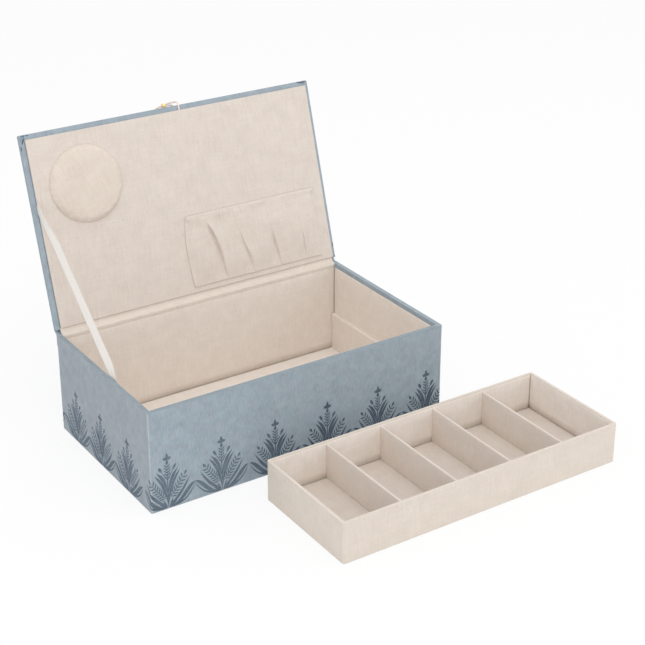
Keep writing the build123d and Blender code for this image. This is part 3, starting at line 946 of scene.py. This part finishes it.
# %% [markdown]
# ## The pincushion
# A card disc under a pad of stuffing, with linen drawn over it and gathered in behind, so
# its side bulges over its foot and its top is soft and not quite even, while the disc's
# edge keeps it round. It is modelled as it is made: a closed skin of cloth, blown up from
# inside while its foot is held. The cloth solver is meant for clothes, so the pad is ten
# times its size while it is solved, and no point may move further than the stuffing could
# push it. Lumps and the small puckers at its foot are added after.

# %% Pincushion
PAD_ACROSS, PAD_OUT, PAD_EDGE = -106.0, 136.5, 38.9
PAD_SIDE_VIEW = [
    (0.0, 0.0), (22.0, 0.0), (39.1, 0.0), (39.6, 0.4), (39.7, 1.0), (39.2, 2.0),
    (37.7, 2.9), (34.0, 3.8), (26.0, 4.8), (14.0, 5.4), (0.0, 5.7),
]
SOLVE_SIZE, SOLVE_FRAMES = 0.01, 20
PAD_STEP, PAD_AROUND = 2.6, 128


def smoothly(low, high, value):
    """0 at low, 1 at high, eased at both ends."""
    share = min(1.0, max(0.0, (value - low) / (high - low)))
    return share * share * (3 - 2 * share)


def turned_skin(name, outline, step, finish):
    """A closed skin turned round its middle, its points in the outline's units."""
    side_view = [outline[0]]
    for low, high in zip(outline, outline[1:]):
        steps = math.ceil(math.dist(low, high) / step)
        side_view += [Vector(low).lerp(Vector(high), (n + 1) / steps) for n in range(steps)]
    points = [(0.0, 0.0, side_view[0][1]), (0.0, 0.0, side_view[-1][1])]
    for reach, up in side_view[1:-1]:
        for number in range(PAD_AROUND):
            angle = 2 * math.pi * number / PAD_AROUND
            points.append((reach * math.cos(angle), reach * math.sin(angle), up))
    faces, rings = [], len(side_view) - 2
    top = 2 + (rings - 1) * PAD_AROUND
    for number in range(PAD_AROUND):
        after = (number + 1) % PAD_AROUND
        faces.append((0, 2 + after, 2 + number))
        faces.append((1, top + number, top + after))
        for ring in range(rings - 1):
            low, high = 2 + ring * PAD_AROUND, 2 + (ring + 1) * PAD_AROUND
            faces.append((low + number, low + after, high + after, high + number))
    return make_piece(name, points, faces, finish)


def settle_cloth(piece, pressure, held_below, most, stretch):
    """Blows a closed skin up from inside; its foot stays, and no point moves more than most."""
    before = [vertex.co.copy() for vertex in piece.data.vertices]
    foot = piece.vertex_groups.new(name="foot")
    foot.add([n for n, place in enumerate(before) if place.z < held_below], 1.0, "REPLACE")
    cloth = piece.modifiers.new("stuffing", "CLOTH")
    settings = {
        "quality": 8, "mass": 0.2, "use_pressure": True, "uniform_pressure_force": pressure,
        "vertex_group_mass": "foot", "shrink_min": -stretch,
    }
    for name, value in settings.items():
        setattr(cloth.settings, name, value)
    cloth.settings.effector_weights.gravity = 0.0
    cloth.point_cache.frame_end = SOLVE_FRAMES
    for number in range(1, SOLVE_FRAMES + 1):
        bpy.context.scene.frame_set(number)
    solved = piece.evaluated_get(bpy.context.evaluated_depsgraph_get()).data
    moves = [vertex.co - place for vertex, place in zip(solved.vertices, before)]
    piece.modifiers.remove(cloth)
    bpy.context.scene.frame_set(1)
    for vertex, place, move in zip(piece.data.vertices, before, moves):
        if move.length > most:
            move *= most / move.length
        vertex.co = place + move
    print(piece.name, "moved at most", round(max(move.length for move in moves), 4))


pad_view = [(reach * SOLVE_SIZE, up * SOLVE_SIZE) for reach, up in PAD_SIDE_VIEW]
pincushion = turned_skin("pincushion_cover", pad_view, PAD_STEP * SOLVE_SIZE, pad_linen)
settle_cloth(pincushion, 5.0, 0.3 * SOLVE_SIZE, 1.2 * SOLVE_SIZE, 0.02)
for vertex in pincushion.data.vertices:
    x, y, z = vertex.co / SOLVE_SIZE
    angle, reach = math.atan2(y, x), math.hypot(x, y)
    lump = uneven(x * 0.07, y * 0.07, 2.0) * 0.5 + uneven(x * 0.2, y * 0.2, 7.0) * 0.16
    lump *= smoothly(1.2, 3.4, z)
    pucker = math.sin(angle * 36 + 3 * uneven(x * 0.05, y * 0.05, 0.0)) * 0.14
    pucker *= smoothly(34.5, 37.5, reach) * (1 - smoothly(2.0, 3.6, z))
    beyond = max(0.0, reach - PAD_EDGE) * 0.25
    out = (min(reach, PAD_EDGE) + beyond + pucker) / max(reach, 1.0)
    height = LINING_THICK + max(0.02, z + lump)
    vertex.co = lid_point(PAD_ACROSS + x * out, PAD_OUT + y * out, height)
smoother = pincushion.modifiers.new("softer", "SUBSURF")
smoother.levels = smoother.render_levels = 1
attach(pincushion, "lid")
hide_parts("pincushion_pad")

# %% [markdown]
# ## The gathered pocket
# A slack linen pocket, cut wider than its place: gathered on elastic in its hem, sewn down
# at its sides and foot, its extra width falling in four soft folds. At each fold the cloth
# sinks slowly from the left and then rises sharply where the next panel laps over. It is
# drawn as heights over the lid, on a grid whose columns follow the folds, so that each
# sharp rise gets its own close columns.

# %% Pocket heights
POCKET_RIGHT, POCKET_TOP, HEM_LOW, HEM_MIDDLE = 149.0, 81.0, 75.0, 78
POCKET_CLOTH = 0.9
POCKET_SIDE = [(7, -8.4), (20, -9.4), (33, -10.2), (46, -10.6), (58, -9.8), (68, -8.4), (81, -5.8)]
POCKET_FOLDS = [
    {"deep": 3.0, "lip": 1.3, "starts": (8, 17), "ends": (60, 73),
     "line": [(7, 29.4), (16, 28.8), (31, 27.4), (42, 25.6), (54, 22.6), (67, 17.8), (81, 12.0)]},
    {"deep": 2.2, "lip": 0.3, "starts": (6, 8), "ends": (26, 66),
     "line": [(7, 62.2), (16, 62.0), (24, 61.0), (34, 57.6), (43, 54.6), (52, 52.4), (81, 46.0)]},
    {"deep": 2.6, "lip": 0.6, "starts": (6, 8), "ends": (28, 55),
     "line": [(7, 96.0), (17, 95.5), (27, 94.0), (41, 91.9), (51, 90.3), (81, 85.5)]},
    {"deep": 1.3, "lip": 0.2, "starts": (6, 10), "ends": (24, 48),
     "line": [(7, 127.4), (17, 128.5), (27, 128.2), (37, 127.3), (81, 123.0)]},
]


def on_line(line, out):
    """Where a drawn line is across the lid, at a distance out from the hinge edge."""
    for (low, before), (high, after) in zip(line, line[1:]):
        if out <= high:
            return before + (after - before) * (out - low) / (high - low)
    return line[-1][1]


def pocket_gather(across, out):
    """The small gathers that the elastic makes, closest on the left."""
    strong = 0.72 - 0.56 * smoothly(45, 75, across)
    strong *= 0.45 + 1.1 * abs(uneven(across * 0.09, out * 0.02, 9.0))
    wander = uneven(across * 0.07, out * 0.015, 4.0)
    wave = math.sin(2 * math.pi * (across / 3.7 + 1.1 * wander))
    return wave * strong * smoothly(56, 73, out)


def body_height(across, out):
    """Height of the cloth's face over the lid's lining, below the hem."""
    from_left, from_right = across - on_line(POCKET_SIDE, out), POCKET_RIGHT - across
    room = 2.5 * smoothly(6, 34, out) ** 0.8 + 0.5 * smoothly(27, 56, out)
    room -= 1.5 * smoothly(56, 75, out)
    room *= smoothly(0, 9, from_left) * smoothly(0, 8, from_right)
    soft = uneven(across * 0.045, out * 0.03, 5.0) * 1.1
    soft += uneven(across * 0.13, out * 0.05, 1.0) * 0.4
    room += soft * smoothly(0, 12, from_left) * smoothly(0, 12, from_right) * smoothly(7, 20, out)
    for fold in POCKET_FOLDS:
        off = across - on_line(fold["line"], out)
        strong = smoothly(*fold["starts"], out) * (1 - smoothly(*fold["ends"], out))
        if off > 0:
            sunk = 1 - smoothly(0, 0.9, off)
            lap = fold["lip"] * smoothly(0, 1.4, off) * math.exp(-(((off - 1.4) / 3.4) ** 2))
        else:
            sunk, lap = max(0.0, 1 + off / 13) ** 1.8, 0.0
        room += strong * (lap - fold["deep"] * sunk)
    return POCKET_CLOTH + max(0.0, room) + pocket_gather(across, out) * smoothly(0, 4, from_left)


def hem_height(across, out):
    """The hem's tube over its elastic: it leaves the pocket smoothly and ends in a firm edge."""
    from_left = across - on_line(POCKET_SIDE, out)
    ends = smoothly(0, 1.6, from_left) * smoothly(0, 1.4, POCKET_RIGHT - across)
    tube = 1.35 + 1.0 * math.sqrt(max(0.0, 1 - ((out - HEM_MIDDLE) / 3.04) ** 2))
    tube = 0.9 + (tube - 0.9) * ends + max(0.0, pocket_gather(across, out)) * 0.7 * ends
    below = body_height(across, HEM_LOW)
    return below + (tube - below) * smoothly(HEM_LOW, HEM_MIDDLE, out)


def in_hem(out):
    return out > HEM_LOW + 0.2


def pocket_height(across, out):
    """Height of the cloth's face over the lid's lining, anywhere on the pocket."""
    return hem_height(across, out) if in_hem(out) else body_height(across, out)


print("pocket stands off the lining by", round(pocket_height(70, 50), 2), "mm")

# %% [markdown]
# The rows of the grid are close where the foot is turned in and round the hem's tube, and the
# columns are close beside each fold. The back of the cloth lies a little below its face, and
# in the hem it lies on the lining, so that the hem is thick.

# %% Pocket
POCKET_ROWS = [7.0, 7.3, 7.8, 8.5, 9.6, 11.0, 12.8, *(15.0 + 2.5 * n for n in range(21))]
POCKET_ROWS += [67.0, 69.0, 70.8, 72.2, 73.3, 74.1, 74.7, HEM_LOW, 75.3, 75.8, 76.5, 77.2, 78.0]
POCKET_ROWS += [78.8, 79.5, 80.1, 80.5, 80.8, POCKET_TOP]
PANEL_COLUMNS = (48, 42, 26, 24, 16)
BEFORE_FOLD, AFTER_FOLD = [0.97, 0.988], [0.0, 0.008, 0.016, 0.026, 0.038, 0.055]


def columns_at(out):
    """Places across the pocket, one panel after another, at a distance from the hinge edge."""
    ends = [on_line(line, out) for line in (POCKET_SIDE, *(fold["line"] for fold in POCKET_FOLDS))]
    for low, high, count in zip(ends, ends[1:] + [POCKET_RIGHT], PANEL_COLUMNS):
        even = [AFTER_FOLD[-1] + 0.89 * (n + 1) / count for n in range(count)]
        for share in AFTER_FOLD + even + BEFORE_FOLD:
            yield low + (high - low) * share


pairs = []
for out in POCKET_ROWS:
    spots = []
    for across in columns_at(out):
        face = pocket_height(across, out)
        back = min(face - 0.35, 0.4) if in_hem(out) else face - POCKET_CLOTH + 0.02
        spots.append((across, face, back))
    spots.append((POCKET_RIGHT, POCKET_CLOTH, 0.02))
    pairs.append([[lid_point(x, out, LINING_THICK + up) for up in ups] for x, *ups in spots])
pocket = shell_piece("pocket_cloth", [pairs], pocket_linen)
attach(pocket, "lid")
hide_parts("pocket")

# %% [markdown]
# ## Thread
# The pocket is sewn with a pale thread: a row along the hem's top, one down each side and one
# along the foot, and a few longer stitches where its corners would tear. Each stitch is a
# short bar of thread, drawn as four rings: it narrows and sinks into the cloth at its ends.

# %% Stitches
STITCH_LONG, STITCH_STEP = 1.9, 2.7
THREAD, STRONG_THREAD = 0.32, 0.6
STITCH_RINGS = ((0.0, -0.3, 0.7), (0.22, 0.0, 1.0), (0.78, 0.0, 1.0), (1.0, -0.3, 0.7))
thread_points, thread_faces = [], []


def stitch(start, end, thick=THREAD):
    """Adds one stitch between two places on the lid, each across, out and up."""
    start, end, upward = Vector(start), Vector(end), Vector((0, 0, 1))
    side = (end - start).normalized().cross(upward).normalized()
    first = len(thread_points)
    for share, sunk, size in STITCH_RINGS:
        middle = start.lerp(end, share) + upward * (sunk * thick)
        for angle in range(0, 360, 60):
            turn = math.radians(angle)
            spoke = side * math.cos(turn) + upward * math.sin(turn)
            thread_points.append(lid_point(*(middle + spoke * thick / 2 * size)))
    for low in (first, first + 6, first + 12):
        for n in range(6):
            after = (n + 1) % 6
            thread_faces.append((low + n, low + after, low + 6 + after, low + 6 + n))
    for end_ring in (first, first + 18):
        thread_faces.append(tuple(range(end_ring, end_ring + 6)))


def on_cloth(across, out):
    """The place on the pocket's face where a thread goes in."""
    return across, out, LINING_THICK + pocket_height(across, out) + THREAD * 0.05


def row_of_stitches(start, end):
    """Where each stitch of a row starts and ends."""
    while start < end:
        yield start, start + STITCH_LONG
        start += STITCH_STEP


for ends in row_of_stitches(-4.0, POCKET_RIGHT - 4):
    for out in (80.0, 8.3):
        stitch(*[on_cloth(across, out) for across in ends])
for ends in row_of_stitches(9.5, 79):
    stitch(*[on_cloth(on_line(POCKET_SIDE, out) + 1.0, out) for out in ends])
    stitch(*[on_cloth(POCKET_RIGHT - 1.0, out) for out in ends])
for number in range(3):
    low, high = [on_line(POCKET_SIDE, out) + 0.5 + number * 0.55 for out in (7.0, 13.0)]
    stitch(on_cloth(low, 6.9), on_cloth(high, 13.5), STRONG_THREAD)
    right = POCKET_RIGHT - 0.6 - number * 0.55
    stitch((right, 76.4, LINING_THICK + 2.0), (right, 81.4, LINING_THICK + 1.5), STRONG_THREAD)
pocket_thread = make_piece("pocket_stitches", thread_points, thread_faces, cotton_thread)
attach(pocket_thread, "lid")

# %% [markdown]
# ## The two hinge cloths
# Inside, a linen strip runs from under the lid's lining over the back wall's rim and down
# behind the wall's lining. Outside, the blue spine cloth does the same from wall to lid.
# Each is one cloth bent along a line, so a side view swept along the box draws it, with
# rounded bends and the faint wrinkles that come of opening and closing.

# %% Hinge cloths
HINGE_CLOTH = 0.35
BOX_RIM, WALL_THICK, WALL_LINING_TOP, LINING_LOW = 105.0, 4.6, 100.5, 1.2


def rounded_path(corners, radius, spacing=0.5):
    """A side view through corners, each one rounded, as evenly spaced points."""
    corners = [Vector(corner) for corner in corners]
    dense = [corners[0]]
    for before, here, after in zip(corners, corners[1:], corners[2:]):
        cut = min(radius, (here - before).length * 0.49, (after - here).length * 0.49)
        enter = here + (before - here).normalized() * cut
        leave = here + (after - here).normalized() * cut
        dense += [eased_run([enter, here, leave], n / 6) for n in range(7)]
    dense.append(corners[-1])
    path = [dense[0]]
    for low, high in zip(dense, dense[1:]):
        if (high - low).length > 1e-6:
            steps = max(1, int((high - low).length / spacing))
            path += [low.lerp(high, (n + 1) / steps) for n in range(steps)]
    return path


def hinge_cloth(name, corners, bend, half_wide, finish, wrinkle):
    """A cloth swept along the box from its side view of (y, z), and the view's length."""
    path = rounded_path(corners, bend)
    reach = [0.0]
    for low, high in zip(path, path[1:]):
        reach.append(reach[-1] + (high - low).length)
    columns, pairs = int(half_wide), []
    for number, here in enumerate(path):
        heading = path[min(number + 1, len(path) - 1)] - path[max(number - 1, 0)]
        proud = Vector((heading.y, -heading.x)).normalized()
        free = smoothly(0, 2, reach[number]) * smoothly(0, 2, reach[-1] - reach[number])
        row = []
        for c in range(columns + 1):
            x = half_wide * (2 * c / columns - 1)
            ruck = uneven(x * 0.11, reach[number] * 0.35, 1) * wrinkle
            ruck += uneven(x * 0.4, reach[number] * 0.5, 4) * wrinkle * 0.4
            face = here + proud * (HINGE_CLOTH + max(-0.1, ruck) * free)
            row.append([Vector((x, *spot)) * MM for spot in (face, here)])
        pairs.append(row)
    print(name, "runs", round(reach[-1], 1), "mm")
    return shell_piece(name, [pairs], finish), reach[-1] * MM


def side_place(out, up):
    """A place on the lid as (y, z) in millimetres."""
    place = lid_point(0, out, up) / MM
    return place.y, place.z


lid_edge = side_place(0, 0)
behind_lining = BOX_HALF_Y - WALL_THICK
inner_view = [side_place(LINING_LOW, 0), lid_edge, (95.0, BOX_RIM + 0.1)]
inner_view += [(behind_lining - 0.65, BOX_RIM + 0.15), (behind_lining - 0.6, WALL_LINING_TOP)]
inner_strip, inner_run = hinge_cloth("inner_hinge_linen", inner_view, 2.2, 161.4, linen, 0.25)
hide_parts("inner_hinge_strip")
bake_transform(inner_strip)

spine_edge = side_place(0, -LID_THICK)
outer_view = [(96.0, 93.0), (96.0, 104.2), spine_edge, side_place(12.0, -LID_THICK)]
spine_cloth, spine_run = hinge_cloth("spine_cloth", outer_view, 1.0, 166.0, cover_cloth, 0.2)
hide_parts("outer_hinge_cloth")
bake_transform(spine_cloth)

# %% [markdown]
# ## The ribbon stay
# A narrow satin ribbon stops the lid from falling back. It is glued behind the lid's lining
# at one end and behind the wall's lining at the other, and it is taut, turned a little by
# its two different ends. A strip, a little thicker along its woven edges and swept between
# the two ends, follows the CAD ribbon. Two places along it, a little before the wall's end and
# a little before the lid's, are worked out for a bend.

# %% Ribbon
RIBBON_WIDE, RIBBON_THICK = 9.5, 0.45
RIBBON_TURN, RIBBON_BOW = math.radians(24), 2.2
RIBBON_ROWS, RIBBON_COLUMNS = 60, 8
BEND_FROM_TO = (-0.06, 0.94)
TURN_STOPS = [(0.0, 0.0), (0.05, 0.0), (0.25, 1.0), (0.9, 1.0), (0.985, 0.25), (1.0, 0.1)]
ribbon_lid_end = lid_point(-161.1, 125.0, 0.35) / MM
ribbon_wall_end = Vector((-160.975, -23.0, WALL_LINING_TOP))
ribbon_run = ribbon_wall_end - ribbon_lid_end
ribbon_along = ribbon_run.normalized()
sideways = Vector((1, 0, 0))
ribbon_across = sideways.cross(ribbon_along).normalized()


def ribbon_turn(share):
    """How far the ribbon has turned and bowed at a share of its length."""
    for (low, before), (high, after) in zip(TURN_STOPS, TURN_STOPS[1:]):
        if share <= high:
            return before + (after - before) * smoothly(low, high, share)


pairs = []
for number in range(RIBBON_ROWS + 1):
    share = number / RIBBON_ROWS
    turned = ribbon_turn(share)
    middle = ribbon_lid_end + ribbon_run * share + sideways * (RIBBON_BOW * turned)
    if share == 0:
        middle -= ribbon_along * 0.2
    cosine, sine = math.cos(RIBBON_TURN * turned), math.sin(RIBBON_TURN * turned)
    wide = ribbon_across * cosine - sideways * sine
    thick, row = wide.cross(ribbon_along), []
    for column in range(RIBBON_COLUMNS + 1):
        off = column / RIBBON_COLUMNS - 0.5
        spot = middle + wide * RIBBON_WIDE * off
        half = RIBBON_THICK / 2 * (0.75 if abs(off) < 0.4 else 1.0)
        row.append([(spot + thick * half) * MM, (spot - thick * half) * MM])
    pairs.append(row)
ribbon = shell_piece("ribbon_strip", [pairs], slot_finishes["white_ribbon"])

ribbon_map = ribbon.data.uv_layers.new(name="lay")
for loop in ribbon.data.loops:
    row, column = divmod(loop.vertex_index, RIBBON_COLUMNS + 1)
    row %= RIBBON_ROWS + 1
    ribbon_map.data[loop.index].uv = (column / RIBBON_COLUMNS, row / RIBBON_ROWS)
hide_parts("ribbon_stay")
bend = [(ribbon_wall_end - ribbon_run * share) * MM for share in BEND_FROM_TO]
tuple(bend[0])
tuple(bend[1])
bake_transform(ribbon)
print("ribbon length", round(ribbon_run.length, 1), "mm")

# %% [markdown]
# ## Lamps, floor and background
# The photograph has the even light of a white studio: a broad soft lamp from the front left
# and above, one overhead, weaker ones from the right and the left, and white all round. The
# floor is a real white floor that takes the box's soft shadow; to the camera it is lifted
# most of the way to white, as a studio sweep is.

# %% Stage
FLOOR_HALF, FLOOR_LOW, FLOOR_LIFT = 8.0, -0.0002, 0.85
AMBIENT = 0.8
WHITE = (1.0, 1.0, 1.0, 1.0)
AIM = (0.0, 0.0, 0.1)


def shows(wire):
    """1 for rays that the camera sees, straight or in a reflection, and 0 for light."""
    kinds = ("Is Camera Ray", "Is Glossy Ray", "Is Transmission Ray")
    straight, glossy, through = [wire.node("LightPath", output=kind) for kind in kinds]
    return wire.math("MINIMUM", straight + glossy + through, 1.0)


def soft_lamp(name, place, aim, size, power):
    lamp_data = bpy.data.lights.new(name, "AREA")
    lamp_data.shape = "SQUARE"
    lamp_data.size = size
    lamp_data.energy = power
    lamp = bpy.data.objects.new(name, lamp_data)
    lamp.location = place
    lamp.rotation_euler = (Vector(aim) - Vector(place)).to_track_quat("-Z", "Y").to_euler()
    bpy.context.scene.collection.objects.link(lamp)


floor_mesh = bpy.data.meshes.new("floor")
corners = [(-1, -1), (1, -1), (1, 1), (-1, 1)]
floor_points = [(x * FLOOR_HALF, y * FLOOR_HALF, FLOOR_LOW) for x, y in corners]
floor_mesh.from_pydata(floor_points, [], [(0, 1, 2, 3)])
floor = bpy.data.objects.new("floor", floor_mesh)
bpy.context.scene.collection.objects.link(floor)
floor_finish, wire = start_finish("white_floor")
plain = wire.tree.nodes["Principled BSDF"]
plain.inputs["Base Color"].default_value = (0.9, 0.9, 0.9, 1.0)
plain.inputs["Roughness"].default_value = 0.9
glow = wire.node("Emission", inputs={"Color": WHITE, "Strength": 1.0})
inputs = {0: shows(wire) * FLOOR_LIFT, 1: Wire(wire.tree, plain.outputs[0]), 2: glow}
lifted = wire.node("MixShader", inputs=inputs)
wire.tree.links.new(lifted.socket, wire.tree.nodes["Material Output"].inputs["Surface"])
floor.data.materials.append(floor_finish)

world = bpy.data.worlds.new("studio")
bpy.context.scene.world = world
world.use_nodes = True
background = world.node_tree.nodes["Background"]
background.inputs["Color"].default_value = WHITE
sky_strength = shows(Wire(world.node_tree)).blend_value(AMBIENT, 1.0)
world.node_tree.links.new(sky_strength.socket, background.inputs["Strength"])

soft_lamp("key_lamp", (-0.9, -1.9, 2.3), (0.0, -0.05, 0.1), 1.5, 15.0)
soft_lamp("fill_lamp", (2.0, -1.6, 1.2), AIM, 1.4, 7.0)
soft_lamp("left_lamp", (-2.2, -0.4, 1.4), AIM, 1.4, 3.5)
soft_lamp("top_lamp", (0.1, -0.5, 2.6), AIM, 1.4, 10.0)
print("stage set")
